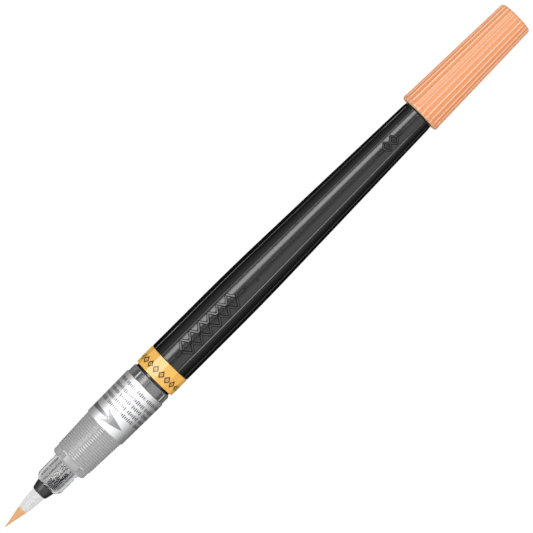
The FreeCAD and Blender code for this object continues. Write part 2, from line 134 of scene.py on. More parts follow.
def lathe(name, sides, outline, relief=(), relief_count=1, turn=0.0, capped=False, closed=True, angle=40.0):
    """A round piece drawn out ring by ring along the pen.

    An outline entry is (x, radius) or (x, radius, share of the relief). Relief entries are (steps from the
    pattern's middle line, height); a radius of 0 ends in a pole.
    """
    deselect()
    x, radius = outline[0][:2]
    fill = "TRIFAN" if capped else "NOTHING"
    bpy.ops.mesh.primitive_circle_add(vertices=sides, radius=radius, fill_type=fill,
                                      location=(x, 0, AXIS), rotation=along_x(turn))
    piece = bpy.context.object
    piece.name = piece.data.name = name
    start_edit()
    choose(piece, lambda v: v.co.length > radius / 2)
    ring = [v.index for v in bmesh.from_edit_mesh(piece.data).verts if v.select]
    first_ring = set(ring)
    last_share = 0.0
    per_pitch = sides // relief_count
    for entry in outline[1:]:
        x_next, radius_next = entry[:2]
        share = entry[2] if len(entry) > 2 else 0.0
        bpy.ops.mesh.extrude_region_move(TRANSFORM_OT_translate={"value": (x_next - x, 0, 0)})
        middle = (x_next, 0, AXIS)
        if radius_next == 0:
            bpy.ops.mesh.merge(type="CENTER")
            break
        mesh = bmesh.from_edit_mesh(piece.data)
        ring = [v.index for v in mesh.verts if v.select]
        ratio = radius_next / radius
        bpy.ops.transform.resize(value=(1, ratio, ratio), center_override=middle)
        if relief and (share or last_share):
            for steps, height in relief:
                factor = (radius_next + height * share) / (radius_next + height * last_share * ratio)
                chosen = {ring[k] for k in range(sides)
                          if (k - steps) % per_pitch == 0 or (k + steps) % per_pitch == 0}
                choose(piece, lambda v: v.index in chosen)
                bpy.ops.transform.resize(value=(1, factor, factor), center_override=middle)
            last_ring = set(ring)
            choose(piece, lambda v: v.index in last_ring)
        x, radius, last_share = x_next, radius_next, share
    else:
        if closed:
            both_ends = first_ring | set(ring)
            choose(piece, lambda v: v.index in both_ends)
            bpy.ops.mesh.bridge_edge_loops()
    bpy.ops.mesh.select_all(action="SELECT")
    bpy.ops.mesh.normals_make_consistent(inside=False)
    return settle(piece, angle)


def joined(name, pieces):
    """Joins the pieces into the first one."""
    deselect()
    for piece in pieces:
        piece.select_set(True)
    bpy.context.view_layer.objects.active = pieces[0]
    bpy.ops.object.join()
    pieces[0].name = pieces[0].data.name = name
    return pieces[0]


def copied(piece, name):
    twin = piece.copy()
    twin.data = piece.data.copy()
    twin.name = twin.data.name = name
    bpy.context.collection.objects.link(twin)
    return twin


def swung(piece, degrees):
    """Turns a settled piece about the pen's axis, in its mesh."""
    turn = Matrix.Translation((0, 0, AXIS)) @ Matrix.Rotation(math.radians(degrees), 4, "X")
    piece.matrix_world = turn @ Matrix.Translation((0, 0, -AXIS))
    return settle(piece)


def on_surface(piece, x, radius, degrees, yaw=0.0):
    """Sets a small piece made at the origin, face up, on the pen at a station, a radius and an angle."""
    place = Matrix.Translation((x, 0, AXIS)) @ Matrix.Rotation(math.radians(degrees), 4, "X")
    place = place @ Matrix.Translation((0, 0, radius)) @ Matrix.Rotation(math.radians(yaw), 4, "Z")
    piece.matrix_world = place
    return settle(piece)


def box(name, size, bevel=0.0):
    """A block with rounded edges, at the origin."""
    deselect()
    bpy.ops.mesh.primitive_cube_add(size=1)
    piece = bpy.context.object
    piece.name = piece.data.name = name
    piece.scale = size
    settle(piece)
    if bevel:
        applied(piece, "BEVEL", width=bevel, segments=3)
    return piece


# ---------------------------------------------------------------- material helpers

def socket(group, name, kind, inward=True, value=None):
    made = group.interface.new_socket(name=name, in_out="INPUT" if inward else "OUTPUT", socket_type=kind)
    if value is not None:
        made.default_value = value
    return made


class Nodes:
    """Short hands for adding and linking nodes in a tree."""

    def __init__(self, tree):
        self.tree = tree

    def add(self, kind, **settings):
        node = self.tree.nodes.new(kind)
        for name, value in settings.items():
            setattr(node, name, value)
        return node

    def link(self, source, target):
        self.tree.links.new(source, target)

    def feed(self, target, value):
        if hasattr(value, "is_output"):
            self.link(value, target)
        else:
            target.default_value = value

    def math(self, operation, first, second=0.0, third=None, clamp=False):
        node = self.add("ShaderNodeMath", operation=operation, use_clamp=clamp)
        self.feed(node.inputs[0], first)
        self.feed(node.inputs[1], second)
        if third is not None:
            self.feed(node.inputs[2], third)
        return node.outputs[0]

    def within(self, value, centre, half, soft):
        """1 where value lies within half of centre, falling to 0 over soft."""
        away = self.math("ABSOLUTE", self.math("SUBTRACT", value, centre))
        node = self.add("ShaderNodeMapRange", interpolation_type="SMOOTHSTEP")
        self.feed(node.inputs["Value"], away)
        self.feed(node.inputs["From Min"], self.math("SUBTRACT", half, soft / 2))
        self.feed(node.inputs["From Max"], self.math("ADD", half, soft / 2))
        node.inputs["To Min"].default_value = 1.0
        node.inputs["To Max"].default_value = 0.0
        return node.outputs["Result"]

    def step(self, value, edge, soft):
        """0 below the edge, 1 above it."""
        node = self.add("ShaderNodeMapRange", interpolation_type="SMOOTHSTEP")
        self.feed(node.inputs["Value"], value)
        self.feed(node.inputs["From Min"], edge - soft / 2)
        self.feed(node.inputs["From Max"], edge + soft / 2)
        return node.outputs["Result"]

    def blend(self, share, first, second):
        node = self.add("ShaderNodeMix", data_type="RGBA")
        self.feed(node.inputs["Factor"], share)
        self.feed(node.inputs["A"], first)
        self.feed(node.inputs["B"], second)
        return node.outputs["Result"]

    def noise(self, vector, scale, detail=2.0):
        node = self.add("ShaderNodeTexNoise")
        self.feed(node.inputs["Vector"], vector)
        node.inputs["Scale"].default_value = scale
        node.inputs["Detail"].default_value = detail
        return node.outputs["Fac"]


def linear(red, green, blue):
    """A display colour of 0 to 255 as scene values."""
    def curve(part):
        part /= 255.0
        return part / 12.92 if part <= 0.04045 else ((part + 0.055) / 1.055) ** 2.4
    return (curve(red), curve(green), curve(blue), 1.0)


def moulded_group():
    """Moulded plastic: faint cloudiness, fine grain and polish that varies."""
    group = bpy.data.node_groups.new("moulded_surface", "ShaderNodeTree")
    socket(group, "Colour", "NodeSocketColor", value=(0.5, 0.5, 0.5, 1))
    socket(group, "Shade", "NodeSocketFloat", value=0.06)
    socket(group, "Polish", "NodeSocketFloat", value=0.3)
    socket(group, "Polish Change", "NodeSocketFloat", value=0.08)
    socket(group, "Colour", "NodeSocketColor", inward=False)
    socket(group, "Roughness", "NodeSocketFloat", inward=False)
    socket(group, "Height", "NodeSocketFloat", inward=False)
    n = Nodes(group)
    enter = n.add("NodeGroupInput")
    leave = n.add("NodeGroupOutput")
    where = n.add("ShaderNodeTexCoord").outputs["Object"]
    cloud = n.noise(where, 180.0, 3.0)
    grain = n.noise(where, 9000.0, 2.0)
    scuff = n.noise(where, 1400.0, 4.0)
    lift = n.math("MULTIPLY_ADD", n.math("SUBTRACT", cloud, 0.5), enter.outputs["Shade"], 1.0)
    tint = n.add("ShaderNodeVectorMath", operation="SCALE")
    n.link(enter.outputs["Colour"], tint.inputs[0])
    n.link(lift, tint.inputs["Scale"])
    n.link(tint.outputs[0], leave.inputs["Colour"])
    spread = n.math("MULTIPLY", n.math("SUBTRACT", scuff, 0.5), enter.outputs["Polish Change"])
    n.link(n.math("ADD", spread, enter.outputs["Polish"], clamp=True), leave.inputs["Roughness"])
    n.link(n.math("MULTIPLY_ADD", scuff, 0.4, grain), leave.inputs["Height"])
    return group


def wrap_group():
    """Where a point lies on the pen's skin: its station and the arc from the top, both in millimetres."""
    group = bpy.data.node_groups.new("round_the_pen", "ShaderNodeTree")
    socket(group, "Radius", "NodeSocketFloat", value=5.9)
    socket(group, "Station", "NodeSocketFloat", inward=False)
    socket(group, "Arc", "NodeSocketFloat", inward=False)
    socket(group, "Angle", "NodeSocketFloat", inward=False)
    n = Nodes(group)
    enter = n.add("NodeGroupInput")
    leave = n.add("NodeGroupOutput")
    parts = n.add("ShaderNodeSeparateXYZ")
    n.link(n.add("ShaderNodeTexCoord").outputs["Object"], parts.inputs[0])
    station = n.math("DIVIDE", n.math("SUBTRACT", parts.outputs["X"], TIP), MM)
    rise = n.math("SUBTRACT", parts.outputs["Z"], AXIS)
    angle = n.math("ARCTAN2", n.math("MULTIPLY", parts.outputs["Y"], -1.0), rise)
    n.link(station, leave.inputs["Station"])
    n.link(angle, leave.inputs["Angle"])
    n.link(n.math("MULTIPLY", angle, enter.outputs["Radius"]), leave.inputs["Arc"])
    return group


MOULDED = moulded_group()
WRAP = wrap_group()


def new_material(name, **plain):
    """A material with its Principled shader; plain values go straight on the shader's sockets."""
    made = bpy.data.materials.new(name)
    made.use_nodes = True
    n = Nodes(made.node_tree)
    shader = made.node_tree.nodes["Principled BSDF"]
    for socket_name, value in plain.items():
        shader.inputs[socket_name.replace("_", " ")].default_value = value
    return made, n, shader


def surfaced(n, shader, colour, shade=0.06, polish=0.3, change=0.08, bump=0.03, distance=0.00001):
    """Runs the moulded surface group into the shader; returns the group node."""
    surface = n.add("ShaderNodeGroup", node_tree=MOULDED)
    n.feed(surface.inputs["Colour"], colour)
    surface.inputs["Shade"].default_value = shade
    surface.inputs["Polish"].default_value = polish
    surface.inputs["Polish Change"].default_value = change
    relief = n.add("ShaderNodeBump")
    relief.inputs["Strength"].default_value = bump
    relief.inputs["Distance"].default_value = distance
    n.link(surface.outputs["Height"], relief.inputs["Height"])
    n.link(surface.outputs["Colour"], shader.inputs["Base Color"])
    n.link(surface.outputs["Roughness"], shader.inputs["Roughness"])
    n.link(relief.outputs["Normal"], shader.inputs["Normal"])
    return surface


def wrapped(n, radius_mm):
    node = n.add("ShaderNodeGroup", node_tree=WRAP)
    node.inputs["Radius"].default_value = radius_mm
    return node.outputs


# ---------------------------------------------------------------- finishes

def plain_plastic(name, colour, polish, shade=0.06, change=0.08, bump=0.04, **plain):
    made, n, shader = new_material(name, **plain)
    surfaced(n, shader, colour, shade, polish, change, bump)
    return made


def clear_plastic(name, colour, polish, see_through, bending=1.12, ring_share=0.0):
    """Clear plastic with a smoke-grey tint and streaks.

    A ring share paints shade into the valleys between the finger rings and paints a dashed highlight along
    the top.
    """
    made, n, shader = new_material(name, IOR=bending, Transmission_Weight=see_through)
    parts = n.add("ShaderNodeSeparateXYZ")
    n.link(n.add("ShaderNodeTexCoord").outputs["Object"], parts.inputs[0])
    flow = n.add("ShaderNodeCombineXYZ")
    n.link(n.math("MULTIPLY", parts.outputs["X"], 0.12), flow.inputs["X"])
    n.link(parts.outputs["Y"], flow.inputs["Y"])
    n.link(parts.outputs["Z"], flow.inputs["Z"])
    streak = n.noise(flow.outputs[0], 900.0, 2.0)
    deep = tuple(part * 0.9 for part in colour[:3]) + (1.0,)
    shade = n.blend(streak, colour, deep)
    if ring_share:
        along = n.math("SUBTRACT", parts.outputs["X"], FIRST_RING - RING_PITCH * MM / 2)
        turns = n.math("DIVIDE", along, RING_PITCH * MM)
        valley = n.math("SUBTRACT", 1.0, n.within(n.math("FRACT", turns), 0.5, 0.33, 0.3))
        before_last = n.math("SUBTRACT", 1.0, n.step(turns, RING_COUNT, 0.1))
        ringed = n.math("MULTIPLY", n.step(turns, 0.0, 0.1), before_last)
        # Painted highlight: a dashed line along the top of the rings, light on the crests and dark in the
        # valleys, on the upper side only.
        rise = n.math("SUBTRACT", parts.outputs["Z"], AXIS)
        top_line = n.within(n.math("DIVIDE", parts.outputs["Y"], rise), 0.0, 0.085, 0.04)
        top_line = n.math("MULTIPLY", n.math("MULTIPLY", top_line, n.math("GREATER_THAN", rise, 0.0)), ringed)
        # Painted shade: the valleys between the finger rings are darkened.
        shadow = n.math("MULTIPLY", n.math("MULTIPLY", valley, ringed), ring_share)
        shade = n.blend(shadow, shade, (0.2, 0.2, 0.2, 1))
        glint_dashes = n.blend(valley, (0.95, 0.95, 0.95, 1), (0.18, 0.18, 0.18, 1))
        shade = n.blend(n.math("MULTIPLY", top_line, 0.8), shade, glint_dashes)
    surfaced(n, shader, shade, 0.05, polish, 0.05, 0.02)
    return made


def tuft_material(name, strand_scale):
    """White nylon, stained orange at the point, with a feathered edge to the stain."""
    made, n, shader = new_material(name)
    wrap = wrapped(n, 1.5)
    spread = n.add("ShaderNodeCombineXYZ")
    n.link(n.math("MULTIPLY", wrap["Angle"], strand_scale), spread.inputs["X"])
    n.link(n.math("MULTIPLY", wrap["Station"], 0.05), spread.inputs["Y"])
    strands = n.noise(spread.outputs[0], 1.0, 2.0)
    mottle = n.noise(n.add("ShaderNodeTexCoord").outputs["Object"], 2400.0, 2.0)
    edge = n.math("ADD", wrap["Station"], n.math("MULTIPLY", n.math("SUBTRACT", strands, 0.5), 0.9))
    white = n.step(edge, 6.1, 0.6)
    towards_tip = n.step(wrap["Station"], 1.6, 3.2)
    orange = n.blend(towards_tip, linear(222, 164, 92), linear(240, 182, 114))
    orange = n.blend(n.math("MULTIPLY", mottle, 0.5), orange, linear(244, 200, 156))
    colour = n.blend(white, orange, linear(232, 232, 232))
    dark = n.math("MULTIPLY_ADD", n.math("SUBTRACT", strands, 0.5), 0.22, 1.0)
    shaded = n.add("ShaderNodeVectorMath", operation="SCALE")
    n.link(colour, shaded.inputs[0])
    n.link(dark, shaded.inputs["Scale"])
    n.link(shaded.outputs[0], shader.inputs["Base Color"])
    n.link(n.math("MULTIPLY_ADD", strands, 0.2, 0.38), shader.inputs["Roughness"])
    relief = n.add("ShaderNodeBump")
    relief.inputs["Strength"].default_value = 0.25
    relief.inputs["Distance"].default_value = 0.00005
    n.link(strands, relief.inputs["Height"])
    n.link(relief.outputs["Normal"], shader.inputs["Normal"])
    return made


def print_lines(n, wrap, centre, seed):
    """One line of greeked print round the label: strokes grouped as words, never letters."""
    row = n.within(wrap["Station"], centre, 0.5, 0.12)
    shifted = n.math("ADD", wrap["Arc"], seed * 3.7)
    words = n.math("FRACT", n.math("MULTIPLY", shifted, 0.21 + 0.02 * seed))
    word = n.within(words, 0.5, 0.44, 0.04)
    counted = n.math("MULTIPLY", shifted, PRINT_STROKES)
    strokes = n.math("FRACT", counted)
    stroke = n.within(strokes, 0.5, 0.27, 0.2)
    wobble = n.math("FRACT", n.math("MULTIPLY", n.math("FLOOR", counted), 0.37))
    tall = n.within(wrap["Station"], centre, 0.34, 0.12)
    short = n.step(wobble, 0.5, 0.02)
    height = n.math("MAXIMUM", tall, n.math("MULTIPLY", row, short))
    return n.math("MULTIPLY", n.math("MULTIPLY", word, stroke), height)


def label_material():
    """Silver-white film with a grey turn arrow and five lines of greeked print."""
    made, n, shader = new_material("label_film", Metallic=0.88)
    wrap = wrapped(n, 5.95)
    off = n.math("ABSOLUTE", n.math("SUBTRACT", wrap["Station"], ARROW_STATION))
    arc = wrap["Arc"]
    flare = n.math("MULTIPLY", n.math("SUBTRACT", ARROW_POINT, arc), ARROW_HALF / (ARROW_POINT - ARROW_BARB))
    inside = n.step(n.math("SUBTRACT", flare, off), 0.0, 0.08)
    notch = n.math("MULTIPLY_ADD", off, -1.05, ARROW_NOTCH + 0.37)
    ahead = n.step(n.math("SUBTRACT", arc, notch), 0.0, 0.1)
    head = n.math("MULTIPLY", inside, ahead)
    widening = n.math("MULTIPLY_ADD", arc, -0.035, 0.33)
    shaft = n.step(n.math("SUBTRACT", widening, off), 0.0, 0.08)
    shaft = n.math("MULTIPLY", shaft, n.math("LESS_THAN", arc, ARROW_NOTCH + 0.2))
    arrow = n.math("MAXIMUM", head, shaft)
    lines = None
    for seed, centre in enumerate(PRINT_LINES):
        line = print_lines(n, wrap, centre, seed)
        lines = line if lines is None else n.math("MAXIMUM", lines, line)
    base = n.blend(n.math("MULTIPLY", lines, 0.92), linear(224, 224, 225), linear(62, 63, 65))
    base = n.blend(n.math("MULTIPLY", arrow, 0.95), base, linear(138, 138, 140))
    surfaced(n, shader, base, 0.03, 0.53, 0.08, 0.03)
    return made


def band_material():
    """Yellow-orange plastic with a row of plain dark marks where the colour's name would be printed."""
    made, n, shader = new_material("band_yellow")
    wrap = wrapped(n, 5.9)
    turns = n.math("MULTIPLY", n.math("ADD", wrap["Arc"], 0.35), 1 / MARK_PITCH)
    across = n.math("ABSOLUTE", n.math("SUBTRACT", n.math("FRACT", turns), 0.5))
    along = n.math("ABSOLUTE", n.math("SUBTRACT", wrap["Station"], MARK_STATION))
    size = n.math("ADD", n.math("DIVIDE", across, 0.47), n.math("DIVIDE", along, MARK_HALF))
    outer = n.math("SUBTRACT", 1.0, n.step(size, 1.0, 0.08))
    inner = n.math("SUBTRACT", 1.0, n.step(size, 0.5, 0.1))
    heart = n.math("SUBTRACT", 1.0, n.step(size, 0.2, 0.1))
    marks = n.math("ADD", n.math("SUBTRACT", outer, inner), heart, clamp=True)
    base = n.blend(n.math("MULTIPLY", marks, 0.93), linear(251, 192, 90), linear(34, 24, 10))
    surfaced(n, shader, base, 0.03, 0.3, 0.06, 0.03)
    return made


def cap_material():
    """Orange plastic with painted highlights: paler at the smooth lip and along the rib crests."""
    made, n, shader = new_material("cap_orange")
    wrap = wrapped(n, 5.4)
    lip_end = (CAP - TIP) / MM + 0.45
    # Painted highlight: the smooth lip is coloured paler all round.
    lip = n.step(wrap["Station"], lip_end, 0.3)
    turns = n.math("MULTIPLY", n.math("SUBTRACT", wrap["Angle"], math.radians(CAP_TURN)), CAP_RIBS / math.tau)
    # Painted highlight: the rib crests are blended towards a pale peach.
    crest = n.within(n.math("FRACT", turns), 0.5, 0.13, 0.12)
    body = n.blend(n.math("MULTIPLY", crest, 0.8), linear(243, 157, 101), linear(250, 206, 178))
    surfaced(n, shader, n.blend(lip, linear(244, 200, 168), body), 0.03, 0.42, 0.06, 0.03)
    return made


def felt_material():
    made, n, shader = new_material("felt_white")
    where = n.add("ShaderNodeTexCoord").outputs["Object"]
    fibres = n.noise(where, 6000.0, 4.0)
    n.link(n.blend(fibres, linear(205, 203, 196), linear(238, 236, 230)), shader.inputs["Base Color"])
    n.link(n.math("MULTIPLY_ADD", fibres, 0.1, 0.85), shader.inputs["Roughness"])
    relief = n.add("ShaderNodeBump")
    relief.inputs["Strength"].default_value = 0.6
    relief.inputs["Distance"].default_value = 0.00008
    n.link(fibres, relief.inputs["Height"])
    n.link(relief.outputs["Normal"], shader.inputs["Normal"])
    return made


# Print on the label and the band, in millimetres from the tip and round from the top
ARROW_STATION = 37.0
ARROW_BARB = -2.84
ARROW_NOTCH = -1.27
ARROW_POINT = 3.8
ARROW_HALF = 1.85
PRINT_STROKES = 1.9
PRINT_LINES = (39.9, 41.4, 43.05, 44.6, 46.5)
MARK_STATION = 53.5
MARK_HALF = 1.1
MARK_PITCH = 2.0

CAP_RIBS = 24
CAP_TURN = -2.5
RING_PITCH = 0.635
RING_COUNT = 17
FIRST_RING = GRIP + (LABEL - GRIP - RING_PITCH * (RING_COUNT - 1) * MM) / 2

TUFT = tuft_material("nylon_filaments", 14.0)
FERRULE_BLACK = plain_plastic("ferrule_black", linear(44, 44, 46), 0.38, 0.1)
TONGUE_GREY = plain_plastic("tongue_grey", linear(112, 112, 114), 0.5)
NOSE_CLEAR = clear_plastic("nose_clear", (0.68, 0.68, 0.685, 1), 0.08, 1.0)
GRIP_CLEAR = clear_plastic("section_clear", (0.57, 0.57, 0.575, 1), 0.34, 0.25, 1.45, 0.4)
WEB_CLEAR = clear_plastic("web_clear", (0.62, 0.62, 0.625, 1), 0.2, 0.8)
RIM_CLEAR = clear_plastic("rim_clear", (0.34, 0.34, 0.345, 1), 0.15, 0.4, 1.45)
LUG_GREY = plain_plastic("lug_grey", linear(84, 84, 86), 0.3)
# Pale plastic for the painted highlights at the collar slots and the collar's front.
SLOT_GLINT_PALE = plain_plastic("slot_glint_pale", linear(236, 236, 237), 0.3)
FEED_WHITE = plain_plastic("feed_white", linear(214, 214, 210), 0.5)
FELT = felt_material()
LABEL_FILM = label_material()
BAND_YELLOW = band_material()
BARREL_BLACK = plain_plastic("barrel_black", linear(17, 17, 18), 0.19, 0.1, 0.05, 0.03)
# Matte black for the plates that paint shade round the feet of the ornament's raised strokes.
FOOT_SHADE_BLACK = plain_plastic("foot_shade_black", linear(10, 10, 11), 0.7, Specular_IOR_Level=0.1)
BUSH_WHITE = plain_plastic("bush_white", linear(208, 208, 204), 0.5)
BALL_STEEL = plain_plastic("ball_polished", linear(210, 212, 216), 0.12, 0.02, 0.04, 0.02, Metallic=0.9)
CAP_ORANGE = cap_material()


def dressed(piece, material, body, slot, *replaced):
    """Gives a finished piece its material and its body."""
    piece.data.materials.clear()
    piece.data.materials.append(material)
    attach(piece, body)
    if replaced:
        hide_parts(*replaced)
    return piece


def recoloured(node, material):
    """Gives a shown CAD node's slots a better material; its mesh stays as it is."""
    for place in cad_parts[node].material_slots:
        place.material = material


# ---------------------------------------------------------------- tuft and ferrule

POINT_LENGTH = 5.4
POINT_RADIUS = 1.13
ROOT_STATION = (FERRULE - TIP) / MM
ROOT_RADIUS = 1.81
FILAMENT_RADIUS = 0.075 * MM
TUFT_STATIONS = 13


def tuft_radius(x):
    """The tuft's outside: a fine point, then a long gentle swell to the ferrule."""
    along = (x - TIP) / MM
    if along < POINT_LENGTH:
        share = along / POINT_LENGTH
        return (0.05 + (POINT_RADIUS - 0.05) * share ** 1.12) * MM
    share = (along - POINT_LENGTH) / (ROOT_STATION - POINT_LENGTH)
    return (POINT_RADIUS + (ROOT_RADIUS - POINT_RADIUS) * math.sin(share * QUARTER) ** 0.9) * MM


def make_tuft():
    stations = [TIP + (FERRULE - TIP) * k / (TUFT_STATIONS - 1) for k in range(TUFT_STATIONS)]
    root = FERRULE + 3.0 * MM
    core = [(root, 1.7 * MM), (FERRULE, 1.7 * MM)]
    core += [(x, 0.93 * tuft_radius(x)) for x in reversed(stations[1:-1])] + [(TIP + 0.3 * MM, 0)]
    heart = lathe("tuft_core", 48, core, capped=True)
    filaments = []
    filament_line = [(root, FILAMENT_RADIUS)] + [(x, FILAMENT_RADIUS) for x in reversed(stations)]
    first = lathe("filament", 5, filament_line, closed=False, capped=True, angle=80.0)
    for count, depth in ((84, 0.955), (70, 0.86)):
        for k in range(count):
            strand = copied(first, "filament")
            angle = math.tau * (k + rng.uniform(-0.3, 0.3)) / count
            reach = depth * ROOT_RADIUS * MM * rng.uniform(0.975, 1.02)
            strand.matrix_world = Matrix.Translation((0, -reach * math.sin(angle), reach * math.cos(angle)))
            filaments.append(strand)
    bpy.data.objects.remove(first)
    bundle = joined("tuft_filaments", filaments)
    settle(bundle, 80.0)
    start_edit()
    for x in stations[:-1]:
        choose(bundle, lambda v: abs(v.co.x - x) < 0.02 * MM)
        ratio = tuft_radius(x) / (ROOT_RADIUS * MM)
        bpy.ops.transform.resize(value=(1, ratio, ratio), center_override=(x, 0, AXIS))
    settle(bundle, 80.0)
    tuft = joined("tuft", [heart, bundle])
    return dressed(tuft, TUFT, "section", "tuft", "bristle_tuft")


def make_ferrule():
    wall = 0.2 * MM
    outline = [(FERRULE, 1.78), (FERRULE, 1.86), (FERRULE + 0.06 * MM, 1.99), (FERRULE + 0.2 * MM, 2.1),
               (FERRULE + 0.36 * MM, 2.16), (FERRULE + 1.0 * MM, 2.3), (FERRULE + 1.02 * MM, 2.33),
               (NOSE - 0.04 * MM, 2.63), (NOSE, 2.6), (NOSE, 2.3), (NOSE + wall, 2.3), (NOSE + wall, 1.78)]
    cone = lathe("ferrule_cone", 96, [(x, r * MM) for x, r in outline], angle=30.0)
    top_line = box("ferrule_seam", (2.2 * MM, 0.12 * MM, 0.12 * MM), 0.04 * MM)
    on_surface(top_line, FERRULE + 1.45 * MM, 2.34 * MM, 0.0)
    dressed(joined("ferrule_cone", [cone, top_line]), FERRULE_BLACK, "section", "ferrule", "ferrule")
    dressed(make_tongue(), TONGUE_GREY, "section", "ferrule")


def make_tongue():
    """The ferrule's locking tongue inside the nose: a wide foot that narrows to a tip, all edges soft."""
    parts = []
    for start, length, first, sweep in ((NOSE + 0.1 * MM, 1.0 * MM, 6.0, 16.0),
                                        (NOSE + 0.8 * MM, 1.6 * MM, -12.0, 76.0),
                                        (NOSE + 1.6 * MM, 2.1 * MM, 16.0, 48.0),
                                        (NOSE + 3.2 * MM, 2.7 * MM, 30.0, 24.0)):
        deselect()
        bpy.ops.mesh.primitive_plane_add(size=1)
        part = bpy.context.object
        part.name = "tongue_part"
        part.scale = (length, 0.45 * MM, 1)
        part.rotation_euler = (QUARTER, 0, 0)
        part.location = (start + length / 2, 0, AXIS + 2.38 * MM)
        settle(part)
        swung(part, first)
        start_edit()
        bpy.ops.mesh.select_all(action="SELECT")
        bpy.ops.mesh.spin(steps=12, angle=math.radians(sweep), center=(0, 0, AXIS), axis=(-1, 0, 0))
        bpy.ops.mesh.select_all(action="SELECT")
        bpy.ops.mesh.remove_doubles(threshold=1e-7)
        bpy.ops.mesh.normals_make_consistent(inside=False)
        settle(part)
        parts.append(part)
    tongue = joined("tongue", parts)
    applied(tongue, "REMESH", mode="VOXEL", voxel_size=0.09 * MM)
    applied(tongue, "SMOOTH", factor=0.8, iterations=6)
    return settle(tongue, 60.0)


# ---------------------------------------------------------------- nose and grip section

NOSE_RADIUS = 3.78
NOSE_BORE = 3.17
STEM_BORE = 2.31
WEB_ANGLES = [-31.5 + 72 * k for k in range(5)]


def make_nose():
    snap = COLLAR - 1.6 * MM
    outline = [(NOSE, STEM_BORE), (NOSE, 2.7), (NOSE + 0.05 * MM, 2.82), (NOSE + 0.3 * MM, 3.03),
               (NOSE + 0.7 * MM, 3.38), (NOSE + 1.1 * MM, 3.64), (NOSE + 1.4 * MM, 3.75),
               (NOSE + 1.7 * MM, NOSE_RADIUS), (snap - 0.6 * MM, NOSE_RADIUS), (snap - 0.5 * MM, 3.81),
               (snap - 0.3 * MM, 3.86), (snap - 0.1 * MM, 3.81), (snap, NOSE_RADIUS),
               (NOSE_REAR, NOSE_RADIUS), (NOSE_REAR, NOSE_BORE), (NOSE + 3.9 * MM, NOSE_BORE),
               (NOSE + 3.8 * MM, 3.06), (NOSE + 3.6 * MM, 3.06), (NOSE + 3.5 * MM, NOSE_BORE),
               (NOSE + 1.6 * MM, NOSE_BORE), (NOSE + 0.8 * MM, 2.75), (NOSE + 0.8 * MM, STEM_BORE)]
    shell = lathe("nose_shell", 128, [(x, r * MM) for x, r in outline], angle=30.0)
    dressed(shell, NOSE_CLEAR, "section", "clear_plastic", "nose_piece")
    webs = []
    start = NOSE + 1.0 * MM
    length = NOSE_REAR - 2.6 * MM - start
    for k, angle in enumerate(WEB_ANGLES):
        web = box(f"nose_web_{k}", (length, 0.26 * MM, 0.6 * MM), 0.06 * MM)
        webs.append(on_surface(web, start + length / 2, 2.98 * MM, angle))
    dressed(joined("nose_webs", webs), WEB_CLEAR, "section", "clear_plastic")


GRIP_FRONT_RADIUS = 5.17
GRIP_REAR_RADIUS = 5.58
RING_SHAPE = ((-0.24, 0.0), (-0.15, 0.045), (-0.07, 0.08), (0.0, 0.09),
              (0.07, 0.08), (0.15, 0.045), (0.24, 0.0))
COLLAR_RADIUS = 5.05
COLLAR_ROUND = 0.8

# The socket behind the grip: its mouth takes the barrel's spigot and its bore the threaded neck
MOUTH_RADIUS = 5.4
MOUTH_DEPTH = 6.0 * MM
THREAD_BORE = 4.82
SOCKET_DEPTH = 19.2 * MM
CHAMBER_RADIUS = 3.47


def ring_stations():
    """The finger rings: half-round ridges on the grip's cone."""
    length = (LABEL - GRIP) / MM
    slope = (GRIP_REAR_RADIUS - GRIP_FRONT_RADIUS) / length
    first = (FIRST_RING - GRIP) / MM
    for number in range(RING_COUNT):
        for shift, height in RING_SHAPE:
            along = first + RING_PITCH * number + shift
            yield GRIP + along * MM, GRIP_FRONT_RADIUS + slope * along + height


def make_grip():
    collar_front = COLLAR_RADIUS - COLLAR_ROUND
    outline = [(COLLAR, 3.8), (COLLAR, collar_front)]
    for k in range(1, 6):
        angle = QUARTER * k / 5
        x = COLLAR + COLLAR_ROUND * MM * (1 - math.cos(angle))
        outline.append((x, collar_front + COLLAR_ROUND * math.sin(angle)))
    outline.append((GRIP - 0.1 * MM, COLLAR_RADIUS))
    outline += list(ring_stations())
    outline += [(LABEL - 0.02 * MM, GRIP_REAR_RADIUS), (LABEL, 5.79), (LABEL_REAR, 5.96), (LABEL_REAR, 5.79),
                (LABEL_REAR, MOUTH_RADIUS), (SECTION_REAR - MOUTH_DEPTH, MOUTH_RADIUS),
                (SECTION_REAR - MOUTH_DEPTH, THREAD_BORE), (SECTION_REAR - SOCKET_DEPTH, THREAD_BORE),
                (SECTION_REAR - SOCKET_DEPTH, CHAMBER_RADIUS), (NOSE_REAR, CHAMBER_RADIUS), (NOSE_REAR, 3.8)]
    shell = lathe("grip_shell", 128, [(x, r * MM) for x, r in outline], angle=35.0)
    cutters = []
    for k, angle in enumerate(WEB_ANGLES):
        length = GRIP - COLLAR + 1.0 * MM
        cutter = box(f"slot_cutter_{k}", (length, 1.8 * MM, 1.4 * MM), 0.12 * MM)
        cutters.append(on_surface(cutter, GRIP - length / 2, (4.3 + 0.7) * MM, angle))
    cutter = joined("slot_cutters", cutters)
    applied(shell, "BOOLEAN", operation="DIFFERENCE", object=cutter, solver="EXACT")
    bpy.data.objects.remove(cutter)
    settle(shell, 35.0)
    dressed(shell, GRIP_CLEAR, "section", "clear_plastic", "grip_section")
    make_slot_glints()
    make_socket_rim()


